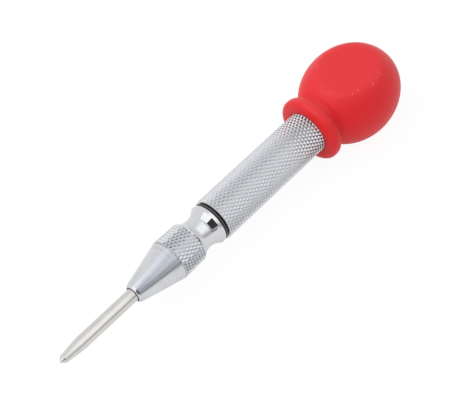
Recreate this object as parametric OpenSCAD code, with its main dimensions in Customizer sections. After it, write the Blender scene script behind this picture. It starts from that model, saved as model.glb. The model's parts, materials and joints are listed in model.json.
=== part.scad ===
// Automatic center punch with a knurled grip and a soft ball cap.
// It lies along +X, point at the low end, on one of the two flats of its ball.
// Each piece is turned about its own axis, and its places are measured back from the point.

/* [Punch tip] */
// Diameter of the shank
tip_d = 3.8; // [3.4:0.1:4.4]
// Full angle of the point
tip_angle = 90; // [60:1:120]
// Diameter where the point meets the taper
tip_end_d = 2.5; // [1.6:0.1:2.8]
// Length of the taper behind the point
tip_taper = 6; // [3:0.1:10]
// Length that stands out of the nose at rest
tip_out = 26.6; // [20:0.1:32]
// How far the guided stretch is thicker than the shank, on the radius
tip_guide_step = 0.2; // [0.1:0.01:0.3]
// How far the guided stretch stands out of the nose at rest
tip_guide_out = 0.3; // [0.1:0.05:0.6]
// Height of the collar that stops in the nose, on the radius
tip_collar_step = 0.7; // [0.5:0.05:0.9]
// Thickness of the collar
tip_collar_len = 2; // [1:0.1:3]
// Length of the tail behind the collar
tip_tail_len = 3; // [2.2:0.1:4]

/* [Nose cone] */
// Length of the whole nose
nose_len = 21.8; // [20.5:0.1:26]
// Wall round the tip at the front lip
nose_lip_wall = 0.85; // [0.7:0.05:1.3]
// Radius of the rounded front lip
nose_lip_round = 1.2; // [0.6:0.1:1.4]
// Length of the hole that guides the tip
nose_guide_len = 4.6; // [4:0.1:6]
// Length of the knurled ring
nose_ring_len = 8; // [7:0.1:9.5]
// Diameter of the knurled ring at the cone
nose_ring_d = 12.5; // [11.8:0.05:13.5]
// Diameter of the knurled ring at the back
nose_ring_back_d = 12.1; // [11.8:0.05:12.5]
// Length of the chamfer behind the ring
nose_chamfer = 0.35; // [0.2:0.05:1]

/* [Body] */
// Length of the polished neck
neck_len = 7.7; // [6.2:0.1:8]
// Diameter of the neck's flare
neck_d = 12.1; // [11.6:0.1:12.6]
// Diameter of the waist
neck_waist_d = 9.45; // [8.8:0.05:9.8]
// Radius of the hollow round the waist
neck_hollow_r = 5.2; // [4.5:0.1:7]
// Distance from the nose to the waist
neck_waist_at = 3.2; // [2.8:0.1:3.6]
// Length of the front spigot in the nose
nose_spigot_len = 6.4; // [5:0.1:7]
// Wall of the front spigot
nose_spigot_wall = 1.2; // [0.9:0.05:1.4]
// Thickness of the web with the guide hole
web_t = 3.2; // [2.4:0.1:3.6]
// Length of the lead-in cone of the guide hole
web_lead = 0.6; // [0.4:0.05:0.9]
// Length of the threaded rear spigot
rear_spigot_len = 20.4; // [17:0.1:24]

/* [Seal ring] */
// Thickness of the ring
seal_d = 1.1; // [0.9:0.1:1.6]
// Outside diameter of the ring
seal_outer_d = 11.9; // [11.6:0.1:12.2]

/* [Grip sleeve] */
// Diameter over the knurl
sleeve_d = 12.7; // [12.4:0.1:14]
// Wall of the sleeve
sleeve_wall = 1.35; // [1.2:0.05:1.45]
// Length of the knurled grip
grip_len = 37.4; // [32:0.05:45]
// Length of the plain seat in the cap
cap_seat_len = 10.3; // [9:0.1:13]
// How far the seat is thinner than the grip, on the radius
cap_seat_step = 0.3; // [0.1:0.05:0.4]
// Thickness of the closed end
sleeve_end_t = 3; // [2:0.1:4]
// Chamfer of the sleeve's edges
sleeve_chamfer = 0.3; // [0.1:0.05:0.4]

/* [Ball cap] */
// Diameter of the ball
ball_d = 27.2; // [25:0.1:32]
// Length of the ball along the tool
ball_len = 31.9; // [30:0.1:36]
// Distance between the two flats
ball_flats = 21.4; // [20.4:0.1:24]
// Diameter of the rolled bead
bead_d = 20; // [19:0.1:20.2]
// Diameter at the middle of the bead
bead_mid_d = 16; // [15:0.1:16.4]
// Width of the bead along the tool
bead_w = 4.7; // [4.2:0.1:5.2]
// Distance from the end of the grip to the middle of the bead
bead_at = 2.85; // [2.8:0.05:3.5]
// Distance from the middle of the bead to the middle of the ball
ball_at = 16.45; // [15.5:0.05:18]
// Diameter at the bottom of the crease between bead and ball
crease_d = 16.4; // [16:0.1:17]
// Radius of the crease
crease_r = 1; // [0.8:0.1:1.2]

/* [Release mechanism] */
// Travel of the tip before the hammer lets go
stroke = 9; // [7:0.5:9.5]
// Radius of the sear pin's ball end
pin_ball_r = 1.2; // [1:0.05:1.4]
// Length of the pin's neck behind the ball
pin_neck_len = 0.6; // [0.4:0.1:1]
// Diameter of the pin's collar
pin_collar_d = 4.4; // [4.2:0.1:5]
// Thickness of the pin's collar
pin_collar_len = 1.2; // [0.8:0.1:1.6]
// Diameter of the pin's thick part
pin_d = 3; // [2.8:0.1:3.2]
// Diameter of the stud that pushes the hammer
stud_d = 2; // [1.8:0.1:2.2]
// How far the stud's end lies off the axis at rest
stud_offset = 0.5; // [0.35:0.05:0.55]
// How far the struck shoulder stands out of the web at full stroke
strike_proud = 1; // [0.6:0.1:1.5]
// Diameter of the hammer
hammer_d = 6.9; // [6.5:0.1:7]
// Length of the hammer
hammer_len = 15; // [12:0.5:18]
// Spare depth of the hammer's hole past the stud
hammer_hole_spare = 0.8; // [0.4:0.1:2]
// Thickness of the spring seat
seat_t = 2; // [1.2:0.1:3]
// Length of the studs that centre the main spring
spring_stud_len = 3; // [2:0.1:4]

/* [Springs] */
// Wire of the main spring
main_wire = 1; // [0.8:0.1:1.1]
// Turns of the main spring
main_turns = 12; // [9:1:14]
// Wire of the return spring
return_wire = 0.5; // [0.4:0.05:0.6]
// Turns of the return spring
return_turns = 7; // [5:1:8]
// Mean radius of the return spring at the pin
return_small_r = 2.1; // [2:0.05:2.2]
// Mean radius of the return spring at the web
return_large_r = 2.65; // [2.5:0.05:2.75]

/* [Fits] */
// Running clearance of sliding and screwed pieces, on the radius
run_fit = 0.05; // [0.02:0.01:0.08]
// Loose clearance of guided inner pieces, on the radius
guide_fit = 0.1; // [0.08:0.01:0.15]
// Clearance of the pin in the web, on the radius
pin_fit = 0.15; // [0.12:0.01:0.2]
// Gap between faces that meet
face_gap = 0.1; // [0.05:0.01:0.15]
// Room round a spring, on the radius
spring_room = 0.25; // [0.2:0.01:0.35]

/* [Hidden] */

// Smoothness of turned pieces
$fn = 96;
// Rings in each turn of a spring, and sides of its wire
coil_rings = 16;
coil_sides = 6;
// How far a cut runs past the face it opens
past = 1;

// Radii that follow from the fits
tip_r = tip_d / 2;
tip_guide_r = tip_r + tip_guide_step;
nose_hole_r = tip_guide_r + run_fit;
tip_collar_r = tip_guide_r + tip_collar_step;
nose_chamber_r = tip_collar_r + guide_fit;
nose_lip_r = nose_hole_r + nose_lip_wall;
cup_r = pin_ball_r + guide_fit;
pin_r = pin_d / 2;
stud_r = stud_d / 2;
pin_collar_r = pin_collar_d / 2;
web_hole_r = pin_r + pin_fit;
hammer_r = hammer_d / 2;
hammer_bore_r = hammer_r + guide_fit;
hammer_hole_r = stud_r + pin_fit;
return_chamber_r = return_large_r + return_wire / 2 + spring_room;
nose_spigot_r = return_chamber_r + nose_spigot_wall;
nose_bore_r = nose_spigot_r + run_fit;
seal_mid_r = (seal_outer_d - seal_d) / 2;
seal_groove_r = seal_mid_r - seal_d / 2 - run_fit;
sleeve_r = sleeve_d / 2;
sleeve_bore_r = sleeve_r - sleeve_wall;
rear_spigot_r = sleeve_bore_r - run_fit;
seat_r = sleeve_bore_r - guide_fit;
main_mid_r = hammer_bore_r - guide_fit - main_wire / 2;
spring_stud_r = main_mid_r - main_wire / 2 - spring_room;
cap_seat_r = sleeve_r - cap_seat_step;
cap_bore_r = cap_seat_r + run_fit;
// Radius of the neck where it meets the nose
neck_front_r = neck_waist_d / 2 + neck_hollow_r
    - sqrt(pow(neck_hollow_r, 2) - pow(neck_waist_at, 2));

// Places along the tool, measured from the point
point_len = tip_end_d / 2 / tan(tip_angle / 2);
guide_z = tip_out - tip_guide_out;
collar_z = tip_out + nose_guide_len;
tail_z = collar_z + tip_collar_len;
pivot_z = tail_z + tip_tail_len;
pin_collar_z = pivot_z + pin_neck_len;
pin_thick_z = pin_collar_z + pin_collar_len;
nose_back_z = tip_out + nose_len;
nose_ring_z = nose_back_z - nose_ring_len;
nose_spigot_z = nose_back_z - nose_spigot_len;
waist_z = nose_back_z + neck_waist_at;
neck_back_z = nose_back_z + neck_len;
web_z = neck_back_z - web_t;
groove_back_z = neck_back_z + seal_d + 2 * run_fit;
rear_spigot_z = groove_back_z + rear_spigot_len;
hammer_z = neck_back_z + face_gap;
hammer_back_z = hammer_z + hammer_len;
stud_end_z = hammer_z - face_gap;
shoulder_z = neck_back_z + strike_proud - stroke;
stud_len = stud_end_z - shoulder_z;
sleeve_z = groove_back_z + run_fit;
grip_end_z = sleeve_z + grip_len;
sleeve_back_z = grip_end_z + cap_seat_len;
sleeve_floor_z = sleeve_back_z - sleeve_end_t;
seat_z = sleeve_floor_z - run_fit - seat_t;
bead_z = grip_end_z + bead_at;
crease_z = bead_z + bead_w / 2 + 0.8 * crease_r;
ball_z = bead_z + ball_at;
overall_len = ball_z + ball_len / 2;
axis_height = ball_flats / 2;
// Lean of the sear pin about its ball end
pin_lean = asin(stud_offset / (stud_end_z - pivot_z));

// Lays a piece down: the tool's axis along +X, the ball's flats level
module laid_down() {
    translate([-overall_len / 2, 0, axis_height])
        rotate([0, 90, 0])
            children();
}

// A turned piece from its half outline, given as [radius, place]
module turned(outline) {
    rotate_extrude()
        polygon(outline);
}

// A hole along the axis
module hole(r, from, to) {
    translate([0, 0, from])
        cylinder(r = r, h = to - from);
}

// Points along an arc, from angle a to angle b
function arc(centre, r, a, b, steps = 8) = [
    for (i = [0 : steps])
        let (t = a + (b - a) * i / steps)
            centre + r * [cos(t), sin(t)]
];

// Middle of a spring's wire after a share t of its turns
function coil_middle(t, turns, r_a, r_b, z_a, z_b) =
    let (r = r_a + (r_b - r_a) * t, turn = 360 * turns * t)
        [r * cos(turn), r * sin(turn), z_a + (z_b - z_a) * t];

// Least gap from one turn of a spring to the next, measured on the middles of its wire
function coil_gap(middles, wire) =
    min([
        for (i = [0 : len(middles) - 1], k = [coil_rings - 2 : coil_rings + 2])
            if (i + k < len(middles))
                norm(middles[i + k] - middles[i])
    ]) - wire;

// One unbroken wire wound from radius r_a at z_a to radius r_b at z_b, both at the wire's middle
module coil(name, wire, turns, r_a, r_b, z_a, z_b) {
    last = coil_rings * turns;
    middles = [for (i = [0 : last]) coil_middle(i / last, turns, r_a, r_b, z_a, z_b)];
    points = [
        for (i = [0 : last], side = [0 : coil_sides - 1])
            let (
                turn = 360 * i / coil_rings,
                out = [cos(turn), sin(turn), 0],
                along = middles[min(i + 1, last)] - middles[max(i - 1, 0)],
                across = cross(along, out) / norm(cross(along, out)),
                a = 360 * side / coil_sides
            )
                middles[i] + wire / 2 * (cos(a) * out + sin(a) * across)
    ];
    walls = [
        for (i = [0 : last - 1], side = [0 : coil_sides - 1])
            let (
                next = (side + 1) % coil_sides,
                a = i * coil_sides + side,
                b = i * coil_sides + next
            )
                each [[a, a + coil_sides, b], [b, a + coil_sides, b + coil_sides]]
    ];
    front_end = [for (side = [1 : coil_sides - 2]) [0, side, side + 1]];
    foot = last * coil_sides;
    back_end = [for (side = [1 : coil_sides - 2]) [foot, foot + side + 1, foot + side]];
    echo(str(name, " least gap between turns, mm"), coil_gap(middles, wire));
    polyhedron(points, concat(walls, front_end, back_end));
}

// Hardened point with a tapered end, a stop collar and a cup for the sear pin
module punch_tip() {
    color("lightgray")
        laid_down()
            difference() {
                turned([
                    [0, 0],
                    [tip_end_d / 2, point_len],
                    [tip_r, point_len + tip_taper],
                    [tip_r, guide_z],
                    [tip_guide_r, guide_z],
                    [tip_guide_r, collar_z],
                    [tip_collar_r, collar_z],
                    [tip_collar_r, tail_z],
                    [tip_guide_r, tail_z],
                    [tip_guide_r, pivot_z],
                    [0, pivot_z]
                ]);
                translate([0, 0, pivot_z])
                    sphere(r = cup_r);
            }
}

// Stepped pin that leans off the axis until the web straightens it
module sear_pin() {
    color("gray")
        laid_down()
            translate([0, 0, pivot_z])
                rotate([pin_lean, 0, 0])
                    translate([0, 0, -pivot_z])
                        rotate_extrude() {
                            intersection() {
                                translate([0, pivot_z])
                                    circle(r = pin_ball_r);
                                translate([0, pivot_z - pin_ball_r])
                                    square(pin_ball_r);
                            }
                            polygon([
                                [0, pivot_z],
                                [pin_ball_r, pivot_z],
                                [pin_ball_r, pin_collar_z],
                                [pin_collar_r, pin_collar_z],
                                [pin_collar_r, pin_thick_z],
                                [pin_r, pin_thick_z],
                                [pin_r, shoulder_z],
                                [stud_r, shoulder_z],
                                [stud_r, stud_end_z],
                                [0, stud_end_z]
                            ]);
                        }
}

// Tapered coil that sends the tip back out and holds the pin off the axis
module return_spring() {
    color("darkgray")
        laid_down()
            coil(
                "return spring", return_wire, return_turns, return_small_r, return_large_r,
                pin_thick_z + face_gap + return_wire / 2, web_z - face_gap - return_wire / 2
            );
}

// Cone with a knurled ring, screwed on the front of the body
module nose_cone() {
    lip = [nose_lip_r - nose_lip_round, tip_out + nose_lip_round];
    color("silver")
        laid_down()
            difference() {
                turned(concat(
                    [[0, tip_out]],
                    arc(lip, nose_lip_round, -90, -15),
                    [
                        [nose_ring_d / 2, nose_ring_z],
                        [nose_ring_back_d / 2, nose_back_z - nose_chamfer],
                        [neck_front_r, nose_back_z],
                        [0, nose_back_z]
                    ]
                ));
                hole(nose_hole_r, tip_out - past, nose_back_z);
                hole(nose_chamber_r, collar_z - run_fit, nose_back_z);
                hole(nose_bore_r, nose_spigot_z - face_gap, nose_back_z + past);
            }
}

// Barrel with a polished waist, a spigot at each end and the web that frees the hammer
module body() {
    color("gainsboro")
        laid_down()
            difference() {
                union() {
                    hole(nose_spigot_r, nose_spigot_z, waist_z);
                    rotate_extrude()
                        difference() {
                            translate([0, nose_back_z])
                                square([neck_d / 2, neck_len]);
                            translate([neck_waist_d / 2 + neck_hollow_r, waist_z])
                                circle(r = neck_hollow_r);
                        }
                    hole(seal_groove_r, waist_z, groove_back_z);
                    turned([
                        [0, groove_back_z],
                        [rear_spigot_r, groove_back_z],
                        [rear_spigot_r, rear_spigot_z - sleeve_chamfer],
                        [rear_spigot_r - sleeve_chamfer, rear_spigot_z],
                        [0, rear_spigot_z]
                    ]);
                }
                hole(return_chamber_r, nose_spigot_z - past, web_z);
                translate([0, 0, web_z])
                    cylinder(r1 = web_hole_r + web_lead, r2 = web_hole_r, h = web_lead);
                hole(web_hole_r, web_z - past, neck_back_z + past);
                hole(hammer_bore_r, neck_back_z, rear_spigot_z + past);
            }
}

// Rubber ring that seals the grip and keeps it from working loose
module o_ring() {
    color("black")
        laid_down()
            rotate_extrude()
                translate([seal_mid_r, neck_back_z + run_fit + seal_d / 2])
                    circle(d = seal_d);
}

// Striker: a plain weight with a hole that the sear pin's stud drops into
module hammer() {
    color("dimgray")
        laid_down()
            difference() {
                turned([
                    [0, hammer_z],
                    [hammer_r - sleeve_chamfer, hammer_z],
                    [hammer_r, hammer_z + sleeve_chamfer],
                    [hammer_r, hammer_back_z],
                    [spring_stud_r, hammer_back_z],
                    [spring_stud_r, hammer_back_z + spring_stud_len],
                    [0, hammer_back_z + spring_stud_len]
                ]);
                hole(hammer_hole_r, hammer_z - past, hammer_z + stud_len + hammer_hole_spare);
            }
}

// Strong coil that drives the hammer
module main_spring() {
    color("darkgray")
        laid_down()
            coil(
                "main spring", main_wire, main_turns, main_mid_r, main_mid_r,
                hammer_back_z + face_gap + main_wire / 2, seat_z - face_gap - main_wire / 2
            );
}

// Flanged washer that the main spring turns against
module spring_seat() {
    color("tan")
        laid_down()
            turned([
                [0, seat_z - spring_stud_len],
                [spring_stud_r, seat_z - spring_stud_len],
                [spring_stud_r, seat_z],
                [seat_r, seat_z],
                [seat_r, seat_z + seat_t],
                [0, seat_z + seat_t]
            ]);
}

// Knurled grip that screws along the body and sets the force of the blow
module adjuster_sleeve() {
    color("silver")
        laid_down()
            difference() {
                turned([
                    [0, sleeve_z],
                    [sleeve_r - sleeve_chamfer, sleeve_z],
                    [sleeve_r, sleeve_z + sleeve_chamfer],
                    [sleeve_r, grip_end_z],
                    [cap_seat_r, grip_end_z],
                    [cap_seat_r, sleeve_back_z - sleeve_chamfer],
                    [cap_seat_r - sleeve_chamfer, sleeve_back_z],
                    [0, sleeve_back_z]
                ]);
                hole(sleeve_bore_r, sleeve_z - past, sleeve_floor_z);
            }
}

// Half outline of the cap: a rolled bead, a soft crease and an egg-shaped ball
module cap_outline() {
    translate([bead_mid_d / 2, bead_z])
        scale([(bead_d - bead_mid_d) / bead_w, 1])
            circle(d = bead_w);
    difference() {
        translate([0, bead_z])
            square([crease_d / 2 + crease_r / 2, crease_z + crease_r - bead_z]);
        translate([crease_d / 2 + crease_r, crease_z])
            circle(r = crease_r);
    }
    intersection() {
        translate([0, ball_z])
            scale([ball_d / ball_len, 1])
                circle(d = ball_len);
        translate([0, crease_z])
            square([ball_d, ball_len]);
    }
}

// Soft ball for the palm, pushed over the closed end of the sleeve
module ball_cap() {
    color("crimson")
        laid_down()
            difference() {
                rotate_extrude()
                    cap_outline();
                hole(cap_bore_r, bead_z - bead_w, sleeve_back_z + face_gap);
                for (side = [-1, 1])
                    translate([side * (axis_height + ball_d / 2), 0, ball_z])
                        cube([ball_d, 2 * ball_d, 2 * ball_len], center = true);
            }
}

punch_tip();
sear_pin();
return_spring();
nose_cone();
body();
o_ring();
hammer();
main_spring();
spring_seat();
adjuster_sleeve();
ball_cap();
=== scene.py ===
import json
import math

import bmesh
import bpy
from mathutils import Matrix, Vector


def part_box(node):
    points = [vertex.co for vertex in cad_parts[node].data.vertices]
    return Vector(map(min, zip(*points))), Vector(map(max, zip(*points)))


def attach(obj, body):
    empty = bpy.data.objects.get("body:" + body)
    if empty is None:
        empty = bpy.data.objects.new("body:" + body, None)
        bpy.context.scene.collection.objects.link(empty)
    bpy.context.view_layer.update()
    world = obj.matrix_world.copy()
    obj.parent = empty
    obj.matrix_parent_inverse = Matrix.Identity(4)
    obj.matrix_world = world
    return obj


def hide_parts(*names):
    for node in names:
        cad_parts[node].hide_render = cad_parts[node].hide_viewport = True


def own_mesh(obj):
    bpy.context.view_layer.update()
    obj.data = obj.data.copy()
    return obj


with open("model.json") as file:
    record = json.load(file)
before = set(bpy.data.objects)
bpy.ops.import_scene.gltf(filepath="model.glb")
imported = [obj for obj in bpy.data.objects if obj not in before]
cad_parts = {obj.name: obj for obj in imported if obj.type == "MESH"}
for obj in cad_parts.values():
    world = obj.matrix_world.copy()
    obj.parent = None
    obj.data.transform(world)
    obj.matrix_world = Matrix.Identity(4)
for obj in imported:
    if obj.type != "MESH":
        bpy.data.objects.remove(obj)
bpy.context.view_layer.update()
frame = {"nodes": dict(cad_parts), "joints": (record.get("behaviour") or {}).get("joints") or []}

# Punch tip
# A hardened steel pin, turned and ground to a point, then plated with bright nickel.
# It slides in the nose, where its collar stops it, and its cup holds the sear pin's ball.
# Where it enters the nose's lip, the shank is painted dark as painted shade and a painted dark reflection
# of the lip.
mm = 0.001
weld = 0.0005


def box_mm(node):
    """The two corners of a node's box, in millimetres."""
    return [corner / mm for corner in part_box(node)]


def turned(outline, steps=128):
    """A piece turned on the lathe from its half outline, given as (place, radius) in millimetres."""
    bm = bmesh.new()
    corners = [bm.verts.new((place, 0, axis_height + radius)) for place, radius in outline]
    lines = [bm.edges.new(pair) for pair in zip(corners, corners[1:])]
    bmesh.ops.spin(
        bm, geom=corners + lines, cent=(0, 0, axis_height), axis=(1, 0, 0),
        angle=2 * math.pi, steps=steps, use_merge=True,
    )
    bmesh.ops.remove_doubles(bm, verts=bm.verts, dist=weld)
    for face in bm.faces:
        face.smooth = True
    return bm


def arc(centre, radius, start, end, count=8):
    """Points round a centre (place, radius), with angles in degrees from the tool's back."""
    turns = [math.radians(start + (end - start) * i / count) for i in range(count + 1)]
    return [(centre[0] + radius * math.cos(a), centre[1] + radius * math.sin(a)) for a in turns]


def ring_at(bm, place, reach=0.002):
    """The edges that run round the axis at this place."""
    return [edge for edge in bm.edges if all(abs(vert.co.x - place) < reach for vert in edge.verts)]


def soften(bm, edges, width, segments=2):
    """Rounds these edges off."""
    bmesh.ops.bevel(
        bm, geom=edges, offset=width, offset_type="OFFSET", segments=segments,
        profile=0.5, affect="EDGES", material=-1, clamp_overlap=True,
    )


def sharp_edges(bm, least=28):
    """The edges where the surface turns by more than this many degrees."""
    return [edge for edge in bm.edges if edge.calc_face_angle(0) > math.radians(least)]


def add_piece(bm, name, body, slot, finish, *nodes):
    """Makes an object of a mesh in millimetres, with its body, its finish and the solids it replaces."""
    bmesh.ops.remove_doubles(bm, verts=bm.verts, dist=weld)
    bmesh.ops.recalc_face_normals(bm, faces=bm.faces)
    for edge in sharp_edges(bm):
        edge.smooth = False
    bmesh.ops.scale(bm, vec=(mm, mm, mm), verts=bm.verts)
    mesh = bpy.data.meshes.new(name)
    bm.to_mesh(mesh)
    bm.free()
    mesh.materials.append(finish)
    piece = bpy.data.objects.new(name, mesh)
    bpy.context.scene.collection.objects.link(piece)
    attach(piece, body)
    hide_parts(*nodes)
    return piece


class Wire:
    """A socket in a finish. Sums and products of wires add Math nodes, and node() adds any other node."""

    def __init__(self, socket):
        self.socket = socket

    def node(self, kind, settings, inputs, output=0):
        tree = self.socket.id_data
        made = tree.nodes.new(kind)
        for name, value in settings.items():
            if name == "stops":
                ramp = made.color_ramp.elements
                while len(ramp) < len(value):
                    ramp.new(1)
                for stop, (position, colour) in zip(ramp, value):
                    stop.position = position
                    stop.color = (*colour, 1)
            else:
                setattr(made, name, value)
        for name, value in inputs.items():
            if isinstance(value, Wire):
                tree.links.new(value.socket, made.inputs[name])
            else:
                made.inputs[name].default_value = value
        return Wire(made.outputs[output])

    def maths(self, operation, first, second=0.0):
        return self.node("ShaderNodeMath", {"operation": operation}, {0: first, 1: second})

    def __add__(self, other):
        return self.maths("ADD", self, other)

    def __radd__(self, other):
        return self.maths("ADD", other, self)

    def __sub__(self, other):
        return self.maths("SUBTRACT", self, other)

    def __rsub__(self, other):
        return self.maths("SUBTRACT", other, self)

    def __mul__(self, other):
        return self.maths("MULTIPLY", self, other)

    def __rmul__(self, other):
        return self.maths("MULTIPLY", other, self)

    def __truediv__(self, other):
        return self.maths("DIVIDE", self, other)

    def part(self, name):
        return self.node("ShaderNodeSeparateXYZ", {}, {0: self}, name)

    def stretched(self, scale):
        return self.node("ShaderNodeVectorMath", {"operation": "MULTIPLY"}, {0: self, 1: scale})

    def length(self):
        return self.node("ShaderNodeVectorMath", {"operation": "LENGTH"}, {0: self}, "Value")

    def noise(self, scale, detail=3.0):
        """Noise with this many grains to the metre along each axis."""
        return self.node(
            "ShaderNodeTexNoise", {},
            {"Vector": self.stretched(scale), "Scale": 1.0, "Detail": detail},
        )

    def between(self, low, high):
        """0 below low, 1 above high, and smooth between."""
        return self.node(
            "ShaderNodeMapRange", {"interpolation_type": "SMOOTHSTEP"},
            {"Value": self, "From Min": low, "From Max": high},
        )

    def mixed(self, first, second):
        """The first colour where this is 0, and the second where it is 1."""
        return self.node("ShaderNodeMix", {"data_type": "RGBA"}, {0: self, 6: first, 7: second}, 2)

    def bump(self, depth, strength=1.0):
        return self.node("ShaderNodeBump", {}, {"Height": self, "Distance": depth, "Strength": strength})


def new_finish(name, constants):
    """A material with these values on its shader, and the place on the piece that its patterns read."""
    finish = bpy.data.materials.new(name)
    finish.use_nodes = True
    shader = finish.node_tree.nodes["Principled BSDF"]
    for socket, value in constants.items():
        shader.inputs[socket].default_value = value
    return finish, Wire(finish.node_tree.nodes.new("ShaderNodeTexCoord").outputs["Object"])


def feed(finish, wires):
    """Joins wires to the shader of a finish."""
    shader = finish.node_tree.nodes["Principled BSDF"]
    for socket, wire in wires.items():
        finish.node_tree.links.new(wire.socket, shader.inputs[socket])


tip_low, tip_high = box_mm("punch_tip")
axis_height = (tip_low.z + tip_high.z) / 2
tip_front, tip_back = tip_low.x, tip_high.x
point_r = 1.25
point_flat = 0.05
point_edge = 0.22
point_soft = 0.12
taper_len = 6
taper_end = tip_front + point_r + taper_len
taper_soft = 1.2
shank_r = 1.9
guide_r = 2.1
guide_len = 2.6
collar_r = (tip_high.z - tip_low.z) / 2
collar_len = 2
cup_r = 1.3
cup_len = 3
collar_back = tip_back - cup_len
collar_front = collar_back - collar_len
guide_front = collar_front - guide_len
step_angle = 40
step_soft = 0.06
lip_place = box_mm("nose_cone")[0].x
shade_band_start = 0.14
shade_band_full = 0.06
shade_black = (0.05, 0.048, 0.045, 1)

tip_mesh = turned([
    (tip_front, 0),
    (tip_front + point_flat, point_flat),
    (tip_front + point_r - point_edge, point_r - point_edge),
    (tip_front + point_r, point_r),
    (tip_front + point_r + point_edge, point_r + point_edge * (shank_r - point_r) / taper_len),
    (taper_end, shank_r),
    (guide_front, shank_r),
    (guide_front, guide_r),
    (collar_front, guide_r),
    (collar_front, collar_r),
    (collar_back, collar_r),
    (collar_back, guide_r),
    (tip_back, guide_r),
    *arc((tip_back, 0), cup_r, 90, 180),
])
soften(tip_mesh, ring_at(tip_mesh, taper_end), taper_soft, 5)
soften(tip_mesh, ring_at(tip_mesh, tip_front + point_r), point_soft, 3)
soften(tip_mesh, sharp_edges(tip_mesh, step_angle), step_soft)

nickel, place = new_finish("nickel_plated_steel", {"Metallic": 1.0})
grinding = place.noise((9000, 500, 500))
clouds = place.noise((160, 300, 300))
# Painted shade: the shank is painted near-black from just in front of the lip backwards, standing in for
# the lip's shadow and dark reflection.
painted_shade = place.part("X").between((lip_place - shade_band_start) * mm, (lip_place - shade_band_full) * mm)
bright = clouds.between(0.3, 0.7).mixed((0.62, 0.605, 0.585, 1), (0.69, 0.675, 0.65, 1))
feed(nickel, {
    "Base Color": painted_shade.mixed(bright, shade_black),
    "Roughness": 0.1 + 0.08 * grinding + 0.04 * clouds,
    "Normal": grinding.bump(0.000002),
})
add_piece(tip_mesh, "tip", "tip", "plated_tip_steel", nickel, "punch_tip")

# Sear pin
# A stepped pin of hardened steel, ground all over and oiled. Its ball end sits loose in the tip's cup.
# It keeps its solid, because it is a plain turned pin that never shows.
oiled_steel, place = new_finish("oiled_steel", {"Metallic": 1.0})
grinding = place.noise((7000, 900, 900))
stains = place.noise((350, 350, 350), 5.0)
feed(oiled_steel, {
    "Base Color": stains.between(0.35, 0.75).mixed((0.42, 0.42, 0.43, 1), (0.3, 0.285, 0.26, 1)),
    "Roughness": 0.22 + 0.2 * grinding,
    "Normal": grinding.bump(0.000005),
})


def dress(node, finish):
    """Gives a solid that is kept its finish."""
    frame["nodes"][node].data.materials.clear()
    frame["nodes"][node].data.materials.append(finish)


dress("sear_pin", oiled_steel)

# Return spring
# A tapered coil of drawn spring wire, with its small end on the pin's collar.
# Its large end stands on the body's web.
spring_wire, place = new_finish("drawn_spring_wire", {"Metallic": 1.0})
drawing = place.noise((1500, 4000, 4000))
feed(spring_wire, {
    "Base Color": drawing.mixed((0.44, 0.44, 0.45, 1), (0.58, 0.57, 0.55, 1)),
    "Roughness": 0.25 + 0.15 * drawing,
    "Normal": drawing.bump(0.000004),
})


def wound(front, back, front_r, back_r, wire, turns, rings=32, sides=10):
    """A coil of round wire, from radius front_r at the front to radius back_r at the back."""
    bm = bmesh.new()
    first = front + wire / 2
    length = back - front - wire
    ring = bmesh.ops.create_circle(bm, segments=sides, radius=wire / 2)["verts"]
    bmesh.ops.rotate(bm, verts=ring, cent=(0, 0, 0), matrix=Matrix.Rotation(math.pi / 2, 3, "X"))
    bmesh.ops.translate(bm, verts=ring, vec=(first, 0, axis_height + front_r))
    bmesh.ops.spin(
        bm, geom=bm.verts[:] + bm.edges[:], cent=(0, 0, axis_height), axis=(1, 0, 0),
        angle=-2 * math.pi * turns, steps=rings * turns, dvec=(length / (rings * turns), 0, 0),
    )
    bmesh.ops.holes_fill(bm, edges=bm.edges, sides=0)
    for vert in bm.verts:
        out = Vector((0, vert.co.y, vert.co.z - axis_height)).normalized()
        vert.co += out * (back_r - front_r) * (vert.co.x - first) / length
    for face in bm.faces:
        face.smooth = True
    return bm


def stroke_mm(name):
    """The full travel of a slide, in millimetres."""
    return next(joint["range_m"][1] for joint in frame["joints"] if joint["name"] == name) / mm


tip_stroke = stroke_mm("tip_plunge")
return_low, return_high = box_mm("return_spring")
return_wire = 0.5
return_front_r = 2.1
return_back_r = 2.65
return_turns = 7
return_mesh = wound(
    return_low.x, return_high.x, return_front_r, return_back_r, return_wire, return_turns,
)
return_coil = add_piece(
    return_mesh, "return_coil", "housing", "spring_wire", spring_wire, "return_spring",
)
1 - tip_stroke / (return_high.x - return_low.x)
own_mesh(return_coil)

# Nose cone
# A turned steel cone with a rolled knurl round its back, plated with satin chrome.
# It screws on the body's front spigot and guides the tip in its front lip, whose inner face and bore are
# painted dark as painted shade.
ridges_round = 35
knurl_pitch = 1.89
knurl_depth = 0.37
knurl_rise = 0.065
knurl_weld = 0.002
crest_slope = 0.385
crest_edge = 0.03
crest_share = 0.07
crest_least = 0.9
cut_reach = 0.0001


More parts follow.
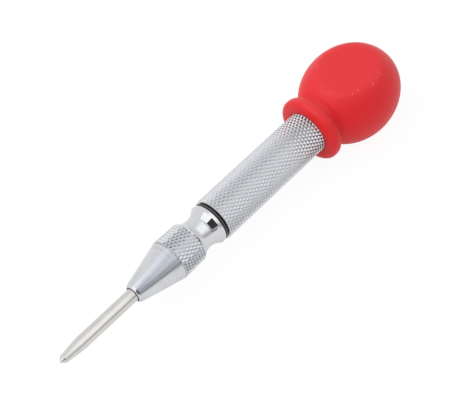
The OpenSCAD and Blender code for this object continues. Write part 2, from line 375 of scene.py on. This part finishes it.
def knurled(front, back, front_r, back_r):
    """A rolled band of diamonds round the axis. It returns the mesh and its front and back rims."""
    bm = bmesh.new()
    groove = bm.verts.layers.float.new("groove")
    width = 2 * math.pi * front_r / ridges_round
    across = ridges_round + math.ceil((back - front) / knurl_pitch) + 2
    bmesh.ops.create_grid(bm, x_segments=across, y_segments=across, size=across / 2)
    bmesh.ops.rotate(bm, verts=bm.verts, cent=(0, 0, 0), matrix=Matrix.Rotation(math.pi / 4, 3, "Z"))
    bmesh.ops.scale(bm, verts=bm.verts, vec=(knurl_pitch / math.sqrt(2), width / math.sqrt(2), 1))
    bmesh.ops.inset_individual(
        bm, faces=bm.faces, thickness=crest_slope, depth=knurl_depth * (1 - crest_share),
        use_even_offset=True,
    )
    crests = [face for face in bm.faces if face.calc_center_median().z > knurl_depth * crest_least]
    bmesh.ops.inset_individual(
        bm, faces=crests, thickness=crest_edge, depth=knurl_depth * crest_share,
        use_even_offset=True,
    )
    half_turn = width * ridges_round / 2
    middle = (front + back) / 2
    for cut, out in (
        ((front - middle, 0, 0), (-1, 0, 0)),
        ((back - middle, 0, 0), (1, 0, 0)),
        ((0, -half_turn, 0), (0, -1, 0)),
        ((0, half_turn, 0), (0, 1, 0)),
    ):
        bmesh.ops.bisect_plane(
            bm, geom=bm.verts[:] + bm.edges[:] + bm.faces[:], dist=cut_reach,
            plane_co=cut, plane_no=out, clear_outer=True,
        )
    for vert in bm.verts:
        share = (vert.co.x + middle - front) / (back - front)
        radius = front_r + (back_r - front_r) * share + knurl_rise - knurl_depth + vert.co.z
        vert[groove] = 1 - vert.co.z / knurl_depth
        angle = math.pi * vert.co.y / half_turn
        vert.co = (
            vert.co.x + middle, radius * math.sin(angle), axis_height + radius * math.cos(angle),
        )
    bmesh.ops.remove_doubles(bm, verts=bm.verts, dist=knurl_weld)
    rims = [edge for edge in bm.edges if edge.is_boundary]
    front_rim = [edge for edge in rims if edge.verts[0].co.x < middle]
    back_rim = [edge for edge in rims if edge.verts[0].co.x > middle]
    return bm, front_rim, back_rim


def draw_out(bm, rim, outline):
    """Carries a rim on through rings, given as (place, radius), and returns the last one."""
    groove = bm.verts.layers.float["groove"]
    for place, radius in outline:
        made = bmesh.ops.extrude_edge_only(bm, edges=rim)["geom"]
        fresh = {item for item in made if isinstance(item, bmesh.types.BMVert)}
        rim = [
            item for item in made
            if isinstance(item, bmesh.types.BMEdge) and fresh.issuperset(item.verts)
        ]
        for vert in fresh:
            out = Vector((0, vert.co.y, vert.co.z - axis_height)).normalized()
            vert.co = Vector((place, 0, axis_height)) + radius * out
            vert[groove] = 0
        for face in {face for edge in rim for face in edge.link_faces}:
            face.smooth = True
    return rim


nose_low, nose_high = box_mm("nose_cone")
nose_front, nose_back = nose_low.x, nose_high.x
ring_len = 8
ring_front = nose_back - ring_len
ring_front_r = (nose_high.z - nose_low.z) / 2
ring_back_r = 6.05
back_chamfer = 0.35
ring_back = nose_back - back_chamfer
relief_len = 0.1
relief_step = 0.04
cone_step = 0.05
cone_end_r = ring_front_r - cone_step
cone_edge_r = 0.06
cone_edge_len = 0.08
cone_turn = 105
slide_fit = 0.05
nose_hole_r = guide_r + slide_fit
lip_flat = 0.3
lip_flat_r = nose_hole_r + lip_flat
lip_fit = 0.08
lip_edge = 0.04
lip_hole_r = shank_r + lip_fit
lip_hole_len = 1.4
lip_hole_back = nose_front + lip_hole_len
lip_round = 1.16
lip_turn = 30
lip_centre = (
    nose_front + lip_round * math.cos(math.radians(lip_turn)),
    lip_flat_r - lip_round * math.sin(math.radians(lip_turn)),
)
nose_seat = collar_front - slide_fit
collar_room = 0.1
nose_chamber_r = collar_r + collar_room
spigot_len = 6.5
spigot_front = nose_back - spigot_len
spigot_bore_r = 4.4
neck_front_r = 5.826
back_relief_len = 0.06
back_relief_step = 0.02
back_edge_len = 0.04
back_edge_r = 0.03
marks_start = 4
marks_full = 1
shade_inner = 0.26
shade_outer = 0.44

nose_mesh, front_rim, back_rim = knurled(
    ring_front + relief_len, ring_back, ring_front_r, ring_back_r,
)
front_rim = draw_out(nose_mesh, front_rim, [
    (ring_front + relief_len, ring_front_r + knurl_rise - knurl_depth - relief_step),
    (ring_front, ring_front_r + knurl_rise - knurl_depth - relief_step),
    (ring_front, cone_end_r - cone_edge_r),
    (ring_front - cone_edge_len, cone_end_r),
    *arc(lip_centre, lip_round, cone_turn, 180 - lip_turn, 10),
    (nose_front, lip_hole_r + lip_edge),
    (nose_front + lip_edge, lip_hole_r),
    (lip_hole_back, lip_hole_r),
    (lip_hole_back, nose_hole_r),
    (nose_seat, nose_hole_r),
    (nose_seat, nose_chamber_r),
    (spigot_front, nose_chamber_r),
    (spigot_front, spigot_bore_r),
])
back_rim = draw_out(nose_mesh, back_rim, [
    (ring_back + back_relief_len, ring_back_r + knurl_rise - knurl_depth - back_relief_step),
    (nose_back - back_edge_len, neck_front_r + back_edge_r),
    (nose_back, neck_front_r),
    (nose_back, spigot_bore_r),
])
bmesh.ops.bridge_loops(nose_mesh, edges=front_rim + back_rim)

satin, place = new_finish("satin_chrome", {"Metallic": 1.0})
turning = place.noise((5200, 120, 120), 4.0)
fine_turning = place.noise((16000, 300, 300))
streaks = place.noise((120, 900, 900))
groove = place.node("ShaderNodeAttribute", {"attribute_name": "groove"}, {}, "Fac")
bare = streaks.between(0.3, 0.7).mixed((0.62, 0.63, 0.65, 1), (0.69, 0.7, 0.72, 1))
near_ring = place.part("X").between((ring_front - marks_start) * mm, (ring_front - marks_full) * mm)
on_cone = 1 - groove.between(0, 0.02)
tool_marks = place.noise((2600, 60, 60), 2.0).between(0.56, 0.66) * near_ring * on_cone
bare = (tool_marks * 0.6).mixed(bare, (0.34, 0.345, 0.37, 1))
plated = groove.between(0.02, 0.25).mixed(bare, (0.66, 0.67, 0.69, 1))
from_axis = place.node(
    "ShaderNodeVectorMath", {"operation": "SUBTRACT"}, {0: place, 1: (0, 0, axis_height * mm)},
)
radius = from_axis.stretched((0, 1, 1)).length()
# Painted shade: the lip's inner face and the bore behind it are painted near-black.
painted_shade = 1 - radius.between((lip_hole_r + shade_inner) * mm, (lip_hole_r + shade_outer) * mm)
feed(satin, {
    "Base Color": painted_shade.mixed(plated, shade_black),
    "Roughness": 0.1 + 0.08 * turning + 0.06 * fine_turning,
    "Normal": (turning * 0.7 + fine_turning * 0.3).bump(0.000005),
})
add_piece(nose_mesh, "nose", "housing", "satin_chrome", satin, "nose_cone")

# Body
# The barrel that everything screws to, turned from bar, with its waist polished and chromed.
# Its web has the hole that straightens the sear pin, and its rear spigot carries the grip's thread.
body_low, body_high = box_mm("body")
neck_len = 7.7
neck_back = nose_back + neck_len
waist_len = 3.2
waist = nose_back + waist_len
waist_r = 4.725
hollow_r = 5.2
flare_r = (body_high.z - body_low.z) / 2
flare_step = 0.06
flare_lead = 0.02
flare_chamfer = 0.08
groove_r = 4.8
groove_len = 1.2
groove_back = neck_back + groove_len
spigot_r = spigot_bore_r - slide_fit
return_bore_r = 3.15
web_len = 3.2
web_front = neck_back - web_len
web_hole_r = 1.65
web_lead = 0.6
hammer_bore_r = 3.55
rear_spigot_r = 4.95
rear_chamfer = 0.3
thread_pitch = 1.0
thread_depth = 0.35
thread_root = 0.12
thread_rise = 0.5
thread_crest = 0.62
thread_lead = 1
thread_front = groove_back + thread_lead
thread_turns = 17
front_turn = math.degrees(math.asin((nose_back - waist) / hollow_r))
flare_turn = math.degrees(math.acos(1 - (flare_r - flare_step - waist_r) / hollow_r))
flare_front = waist + hollow_r * math.sin(math.radians(flare_turn)) + flare_step

thread = []
for turn in range(thread_turns):
    start = thread_front + turn * thread_pitch
    thread += [
        (start, rear_spigot_r - thread_depth),
        (start + thread_root, rear_spigot_r - thread_depth),
        (start + thread_rise, rear_spigot_r),
        (start + thread_crest, rear_spigot_r),
    ]
body_mesh = turned([
    (body_low.x, return_bore_r),
    (body_low.x, spigot_r),
    (nose_back, spigot_r),
    *arc((waist, waist_r + hollow_r), hollow_r, front_turn - 90, flare_turn - 90, 36),
    (flare_front + flare_lead, flare_r),
    (neck_back - flare_chamfer, flare_r),
    (neck_back, flare_r - flare_chamfer),
    (neck_back, groove_r),
    (groove_back, groove_r),
    (groove_back, rear_spigot_r),
    *thread,
    (body_high.x - rear_chamfer, rear_spigot_r),
    (body_high.x, rear_spigot_r - rear_chamfer),
    (body_high.x, hammer_bore_r),
    (neck_back, hammer_bore_r),
    (neck_back, web_hole_r),
    (web_front + web_lead, web_hole_r),
    (web_front, web_hole_r + web_lead),
    (web_front, return_bore_r),
    (body_low.x, return_bore_r),
])

mirror, place = new_finish("mirror_chrome", {"Metallic": 1.0})
smears = place.noise((420, 420, 420), 4.0)
feed(mirror, {
    "Base Color": smears.mixed((0.66, 0.665, 0.675, 1), (0.7, 0.705, 0.715, 1)),
    "Roughness": 0.035 + 0.05 * smears.between(0.5, 0.75),
})
add_piece(body_mesh, "barrel", "housing", "polished_chrome", mirror, "body")

# Seal ring
# A moulded ring of black nitrile rubber in the groove behind the neck.
# It keeps the grip from working loose, and the mould leaves a low line round its outside; a band along
# that line is painted lighter as a painted highlight.
seal_low, seal_high = box_mm("o_ring")
seal_wire_r = (seal_high.x - seal_low.x) / 2
seal_mid = (seal_low.x + seal_high.x) / 2
seal_mid_r = (seal_high.z - seal_low.z) / 2 - seal_wire_r
seal_line = 0.03
seal_line_half = 0.12
seal_line_top = 0.7 * seal_line_half
seal_turn = math.degrees(math.asin(seal_line_half / seal_wire_r))
seal_mesh = turned([
    *arc((seal_mid, seal_mid_r), seal_wire_r, -90, 90 - seal_turn, 14),
    (seal_mid + seal_line_top, seal_mid_r + seal_wire_r + seal_line),
    (seal_mid - seal_line_top, seal_mid_r + seal_wire_r + seal_line),
    *arc((seal_mid, seal_mid_r), seal_wire_r, 90 + seal_turn, 270, 14),
])

nitrile, place = new_finish("nitrile_rubber", {"IOR": 1.5})
grain = place.noise((5000, 5000, 5000), 4.0)
bloom = place.noise((700, 700, 700))
off_line = place.part("X") - seal_mid * mm
# Painted highlight: a band along the mould line is painted lighter grey.
painted_line_highlight = 1 - off_line.maths("ABSOLUTE", off_line).between(
    0.6 * seal_line_half * mm, 1.3 * seal_line_half * mm,
)
black = bloom.between(0.4, 0.8).mixed((0.01, 0.01, 0.011, 1), (0.02, 0.02, 0.021, 1))
feed(nitrile, {
    "Base Color": (painted_line_highlight * 0.8).mixed(black, (0.11, 0.11, 0.115, 1)),
    "Roughness": 0.34 + 0.2 * grain,
    "Normal": grain.bump(0.00001, 0.5),
})
add_piece(seal_mesh, "seal_ring", "housing", "black_rubber", nitrile, "o_ring")

# Hammer
# A plain steel weight, ground and oiled like the sear pin, with a hole that the pin's stud drops into.
# It slides in the body's bore, and it keeps its solid.
dress("hammer", oiled_steel)

# Spring seat
# A turned brass washer with a stud, on which the main spring can turn as the grip is screwed.
# It lies at the closed end of the sleeve, and it keeps its solid.
brass, place = new_finish("turned_brass", {"Metallic": 1.0})
turning = place.noise((5000, 200, 200))
tarnish = place.noise((500, 500, 500), 4.0)
feed(brass, {
    "Base Color": tarnish.between(0.4, 0.75).mixed((0.72, 0.55, 0.28, 1), (0.5, 0.36, 0.17, 1)),
    "Roughness": 0.22 + 0.2 * turning,
    "Normal": turning.bump(0.000006),
})
dress("spring_seat", brass)

# Main spring
# A strong coil of the same drawn wire as the return spring, between the hammer and the spring seat.
main_low, main_high = box_mm("main_spring")
main_wire = 1.0
main_turns = 12
main_mid_r = (main_high.z - main_low.z) / 2 - main_wire / 2
hammer_stroke = stroke_mm("hammer_slide")
main_mesh = wound(main_low.x, main_high.x, main_mid_r, main_mid_r, main_wire, main_turns)
main_coil = add_piece(
    main_mesh, "main_coil", "spring_end", "spring_wire", spring_wire, "main_spring",
)
1 - hammer_stroke / (main_high.x - main_low.x)
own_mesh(main_coil)

# Grip sleeve
# A long steel sleeve, closed at the back, rolled with the same knurl as the nose and chromed.
# It screws on the body's rear spigot, and its plain back end carries the cap.
# Near the cap, the knurl facets that face it are painted dark as painted shade.
sleeve_low, sleeve_high = box_mm("adjuster_sleeve")
sleeve_front, sleeve_back = sleeve_low.x, sleeve_high.x
sleeve_r = (sleeve_high.z - sleeve_low.z) / 2
sleeve_bore_r = 5.0
sleeve_floor_len = 3
sleeve_floor = sleeve_back - sleeve_floor_len
sleeve_chamfer = 0.3
bore_chamfer = 0.1
rim_len = 0.16
rim_land = 0.1
rim_land_step = 0.06
rim_edge = 0.03
rim_edge_step = 0.08
rim_face_step = 0.14
cap_seat_step = 0.3
cap_seat_r = sleeve_r - cap_seat_step
cap_seat_len = 8.25
cap_seat_lead = 0.05
cap_seat_ease = 0.04
knurl_end = sleeve_back - cap_seat_len
cap_shade_start = 15
cap_shade_full = 4

sleeve_mesh, front_rim, back_rim = knurled(sleeve_front + rim_len, knurl_end, sleeve_r, sleeve_r)
front_rim = draw_out(sleeve_mesh, front_rim, [
    (sleeve_front + rim_land, sleeve_r - rim_land_step),
    (sleeve_front + rim_edge, sleeve_r - rim_edge_step),
    (sleeve_front, sleeve_r - rim_face_step),
    (sleeve_front, sleeve_bore_r + bore_chamfer),
    (sleeve_front + bore_chamfer, sleeve_bore_r),
    (sleeve_floor, sleeve_bore_r),
])
bmesh.ops.edgeloop_fill(sleeve_mesh, edges=front_rim)
back_rim = draw_out(sleeve_mesh, back_rim, [
    (knurl_end + cap_seat_lead, cap_seat_r - cap_seat_ease),
    (sleeve_back - sleeve_chamfer, cap_seat_r - cap_seat_ease),
    (sleeve_back, cap_seat_r - sleeve_chamfer),
])
bmesh.ops.edgeloop_fill(sleeve_mesh, edges=back_rim)

knurled_chrome, place = new_finish("knurled_chrome", {"Metallic": 1.0})
groove = place.node("ShaderNodeAttribute", {"attribute_name": "groove"}, {}, "Fac")
rubbing = place.noise((260, 420, 420), 4.0)
near_cap = place.part("X").between((knurl_end - cap_shade_start) * mm, (knurl_end - cap_shade_full) * mm)
# Painted shade: facets turned towards the cap are painted dark near it, hiding their reflection of the
# shaded mouth.
painted_cap_shade = Wire(place.socket.node.outputs["Normal"]).part("X").between(0.1, 0.4) * near_cap
chrome = near_cap.mixed((0.7, 0.71, 0.73, 1), (0.82, 0.825, 0.84, 1))
feed(knurled_chrome, {
    "Base Color": (painted_cap_shade * 0.85).mixed(chrome, (0.13, 0.128, 0.14, 1)),
    "Roughness": 0.2 + 0.12 * groove + 0.12 * rubbing,
})
add_piece(sleeve_mesh, "grip_sleeve", "grip", "knurled_chrome", knurled_chrome, "adjuster_sleeve")

# Ball cap
# A soft vinyl ball for the palm, dip-moulded in one piece with a rolled bead at its mouth.
# Two opposite flats, scuffed round the upper rim, keep the tool from rolling.
# It is pushed over the back of the sleeve.
cap_low, cap_high = box_mm("ball_cap")
ball_r = (cap_high.y - cap_low.y) / 2
ball_half_len = 15.95
ball_mid = cap_high.x - ball_half_len
flat_half = (cap_high.z - cap_low.z) / 2
flat_blend = 1.0
ball_front_len = 15.55
ball_start = math.radians(142)
bead_from_ball = 16.4
bead_mid = ball_mid - bead_from_ball
bead_step = 3.6
bead_r = ball_r - bead_step
bead_front_len = 1.8
bead_front_r = 7.05
bead_front_fullness = 0.8
bead_back_len = 2.15
bead_back_r = 8.15
bead_back_fullness = 0.75
mouth_fit = 0.05
mouth_edge_r = sleeve_r + mouth_fit
mouth_lead = 0.23
throat_round = 2.5
cap_bore_r = cap_seat_r + mouth_fit
cap_gap = 0.1
cap_floor = sleeve_back + cap_gap
scuff_low = 1.1
scuff_full = 0.5
scuff_fade = 0.12
scuff_high = 0.02


def oval(place, radius, half_len, half_r, start, end, count, fullness=1.0):
    """Points round an oval, with angles in degrees from the tool's back. A lower fullness squares it."""
    points = []
    for i in range(count + 1):
        angle = math.radians(start + (end - start) * i / count)
        along = math.copysign(abs(math.cos(angle)) ** fullness, math.cos(angle))
        out = math.copysign(abs(math.sin(angle)) ** fullness, math.sin(angle))
        points.append((place + half_len * along, radius + half_r * out))
    return points


bead_front = bead_mid - bead_front_len
ball_front = ball_mid + ball_front_len * math.cos(ball_start)
throat_turn = math.atan2(-ball_r * math.cos(ball_start), ball_front_len * math.sin(ball_start))
throat_mid = (
    ball_front - throat_round * math.sin(throat_turn),
    ball_r * math.sin(ball_start) + throat_round * math.cos(throat_turn),
)
cap_mesh = turned([
    (cap_floor, 0),
    (cap_floor, cap_bore_r),
    (knurl_end + cap_gap, cap_bore_r),
    (knurl_end + cap_gap, mouth_edge_r),
    *oval(bead_front + mouth_lead, bead_front_r, mouth_lead, bead_front_r - mouth_edge_r, 270, 180, 8),
    *oval(
        bead_mid, bead_front_r, bead_front_len, bead_r - bead_front_r, 175, 90, 24,
        bead_front_fullness,
    ),
    *oval(
        bead_mid, bead_back_r, bead_back_len, bead_r - bead_back_r, 86, 2, 24,
        bead_back_fullness,
    ),
    *arc(throat_mid, throat_round, 270, 270 + math.degrees(throat_turn), 12),
    *oval(ball_mid, 0, ball_front_len, ball_r, math.degrees(ball_start), 90, 60),
    *oval(ball_mid, 0, ball_half_len, ball_r, 89, 0, 60),
], 192)
for vert in cap_mesh.verts:
    height = vert.co.z - axis_height
    past = max(flat_blend - abs(abs(height) - flat_half), 0)
    if vert.co.x > ball_front:
        vert.co.z = axis_height + math.copysign(
            min(abs(height), flat_half) - past ** 2 / (4 * flat_blend), height,
        )

vinyl, place = new_finish("red_vinyl", {
    "IOR": 1.46, "Specular IOR Level": 0.4, "Sheen Weight": 0.14, "Sheen Roughness": 0.4,
})
orange_peel = place.noise((900, 900, 900), 4.0)
skin = place.noise((6000, 6000, 6000))
patches = place.noise((90, 90, 90))
height = place.part("Z") - axis_height * mm
above = height.between((flat_half - scuff_low) * mm, (flat_half - scuff_full) * mm)
below = 1 - height.between((flat_half - scuff_fade) * mm, (flat_half - scuff_high) * mm)
scuffs = place.noise((1500, 900, 1500), 2.0).between(0.66, 0.74) * (above * below)
facing = Wire(place.socket.node.outputs["Normal"]).part("Z")
deep = patches.between(0.3, 0.7).mixed((0.705, 0.006, 0.01, 1), (0.73, 0.008, 0.013, 1))
# Painted sheen: faces turned upwards are painted a paler red.
painted_top_sheen = facing.between(0.5, 1.0).mixed(deep, (0.745, 0.024, 0.031, 1))
feed(vinyl, {
    "Base Color": (scuffs * 0.55).mixed(painted_top_sheen, (0.95, 0.42, 0.4, 1)),
    "Roughness": 0.46 + 0.12 * orange_peel,
    "Normal": (orange_peel * 0.7 + skin * 0.3).bump(0.00002, 0.4),
})
add_piece(cap_mesh, "cap", "grip", "red_vinyl", vinyl, "ball_cap")

# Floor, light and camera
# A white table in a light tent, with two soft lamps behind its cloth.
# Reflections see a white room, darker on the camera's side and at its far end.
# They also see boards behind the camera, which nothing else does.
floor_half = 3
floor_drop = 0.0002
floor_mesh = bmesh.new()
bmesh.ops.create_grid(floor_mesh, x_segments=1, y_segments=1, size=floor_half)
floor_data = bpy.data.meshes.new("floor")
floor_mesh.to_mesh(floor_data)
floor_mesh.free()
table = bpy.data.objects.new("floor", floor_data)
table.location.z = -floor_drop
bpy.context.scene.collection.objects.link(table)

white_table = bpy.data.materials.new("white_table")
white_table.use_nodes = True
tree = white_table.node_tree
path = Wire(tree.nodes.new("ShaderNodeLightPath").outputs["Is Camera Ray"])
seen = path * 0.9 + Wire(path.socket.node.outputs["Is Glossy Ray"]) * 0.5
matt = seen.node("ShaderNodeBsdfDiffuse", {}, {"Color": (0.86, 0.86, 0.86, 1)})
glow = seen.node("ShaderNodeEmission", {}, {"Color": (1, 1, 1, 1), "Strength": 1.03})
shown = seen.node("ShaderNodeMixShader", {}, {0: seen, 1: matt, 2: glow})
tree.links.new(shown.socket, tree.nodes["Material Output"].inputs["Surface"])
floor_data.materials.append(white_table)

world = bpy.data.worlds.new("light_tent")
bpy.context.scene.world = world
world.use_nodes = True
tree = world.node_tree
direction = Wire(tree.nodes.new("ShaderNodeTexCoord").outputs["Generated"])
from_zenith = direction.maths("ARCTAN2", 0 - direction.part("Y"), direction.part("Z"))
share = from_zenith / (2 * math.pi) + 0.5


def at_degrees(angle):
    """A place on the ramp, from the zenith towards the camera's side."""
    return 0.5 + angle / 360


room = share.node("ShaderNodeValToRGB", {"stops": [
    (at_degrees(-60), (0.95, 0.95, 0.95)),
    (at_degrees(-25), (0.92, 0.92, 0.93)),
    (at_degrees(-14), (1.06, 1.06, 1.06)),
    (at_degrees(4), (1.28, 1.28, 1.28)),
    (at_degrees(38), (1.28, 1.28, 1.28)),
    (at_degrees(58), (0.92, 0.92, 0.92)),
    (at_degrees(68), (0.56, 0.56, 0.57)),
    (at_degrees(82), (0.6, 0.6, 0.6)),
    (at_degrees(89), (0.84, 0.84, 0.84)),
]}, {"Fac": share})
far_end = direction.part("X").between(0.72, 0.92)
room = far_end.mixed(room, (0.82, 0.82, 0.83, 1))
path = Wire(tree.nodes.new("ShaderNodeLightPath").outputs["Is Glossy Ray"])
seen = path.mixed((0.77, 0.77, 0.77, 1), room)
seen = Wire(path.socket.node.outputs["Is Camera Ray"]).mixed(seen, (1, 1, 1, 1))
tree.links.new(seen.socket, tree.nodes["Background"].inputs["Color"])


def soft_lamp(name, place, width, height, watts):
    """A lamp behind the tent's cloth, which shines on the middle of the tool and isn't seen itself."""
    data = bpy.data.lights.new(name, "AREA")
    data.shape = "RECTANGLE"
    data.size = width
    data.size_y = height
    data.energy = watts
    lamp = bpy.data.objects.new(name, data)
    lamp.location = place
    lamp.rotation_euler = (-lamp.location).to_track_quat("-Z", "Y").to_euler()
    lamp.visible_camera = False
    lamp.visible_glossy = False
    bpy.context.scene.collection.objects.link(lamp)


soft_lamp("top_lamp", (-0.3, 0.16, 0.68), 0.6, 0.5, 1.95)
soft_lamp("side_lamp", (-0.5, 0.42, 0.2), 0.4, 0.3, 0.5)

camera_azimuth = -40.16
camera_elevation = 52.62
camera_roll = -9.02
camera_distance = 0.4172
camera_right = -0.00193
camera_up = 0.0006
camera_sensor = 36
camera_lens = 123.6
turn = math.radians(camera_azimuth)
rise = math.radians(camera_elevation)
back = Vector((math.cos(rise) * math.sin(turn), -math.cos(rise) * math.cos(turn), math.sin(rise)))
level_right = Vector((math.cos(turn), math.sin(turn), 0))
right = Matrix.Rotation(math.radians(camera_roll), 3, back) @ level_right
up = back.cross(right)
camera_data = bpy.data.cameras.new("camera")
camera_data.sensor_width = camera_sensor
camera_data.lens = camera_lens
camera = bpy.data.objects.new("camera", camera_data)
aim = Vector((0, 0, axis_height * mm))
stand = aim + back * camera_distance + right * camera_right + up * camera_up
camera.matrix_world = Matrix.Translation(stand) @ Matrix((right, up, back)).transposed().to_4x4()
bpy.context.scene.collection.objects.link(camera)
bpy.context.scene.camera = camera
tool_turn = math.atan2(up.x, right.x)


def card(name, along, across, far, colour):
    """A card behind the camera, square to the tool, that only reflections see. Its spans are in metres."""
    bm = bmesh.new()
    bmesh.ops.create_grid(bm, x_segments=1, y_segments=1, size=0.5)
    bmesh.ops.scale(bm, verts=bm.verts, vec=(along[1] - along[0], across[1] - across[0], 1))
    bmesh.ops.translate(bm, verts=bm.verts, vec=(sum(along) / 2, sum(across) / 2, far))
    data = bpy.data.meshes.new(name)
    bm.to_mesh(data)
    bm.free()
    item = bpy.data.objects.new(name, data)
    item.matrix_world = camera.matrix_world @ Matrix.Rotation(tool_turn, 4, "Z")
    item.visible_camera = False
    item.visible_diffuse = False
    item.visible_shadow = False
    item.visible_transmission = False
    bpy.context.scene.collection.objects.link(item)
    paint = bpy.data.materials.new(name)
    paint.use_nodes = True
    tree = paint.node_tree
    glow = tree.nodes.new("ShaderNodeEmission")
    glow.inputs["Color"].default_value = (*colour, 1)
    tree.links.new(glow.outputs["Emission"], tree.nodes["Material Output"].inputs["Surface"])
    data.materials.append(paint)


card("dark_board", (-0.34, 0.025), (-0.29, 0.08), 0.01, (0.045, 0.045, 0.048))
card("stripe_board", (0.052, 0.1), (-0.32, -0.12), 0.012, (0.43, 0.44, 0.48))
card("shade_board", (0.02, 0.038), (-0.34, 0.1), 0.015, (0.4, 0.41, 0.44))
card("pale_board", (0.01, 0.12), (-0.34, 0.25), 0.02, (0.76, 0.79, 0.86))
card("blue_board", (0.03, 0.12), (0.25, 0.62), 0.02, (0.93, 0.98, 1.08))
card("white_board", (-0.8, 0.036), (0.1, 0.7), 0.015, (1.36, 1.36, 1.37))
card("grey_board", (-0.3, 0.12), (-0.56, -0.34), 0.02, (0.32, 0.33, 0.35))
card("point_board", (-0.7, -0.5), (-0.3, -0.02), 0.02, (0.04, 0.04, 0.042))
bpy.context.scene.view_settings.view_transform = "Standard"
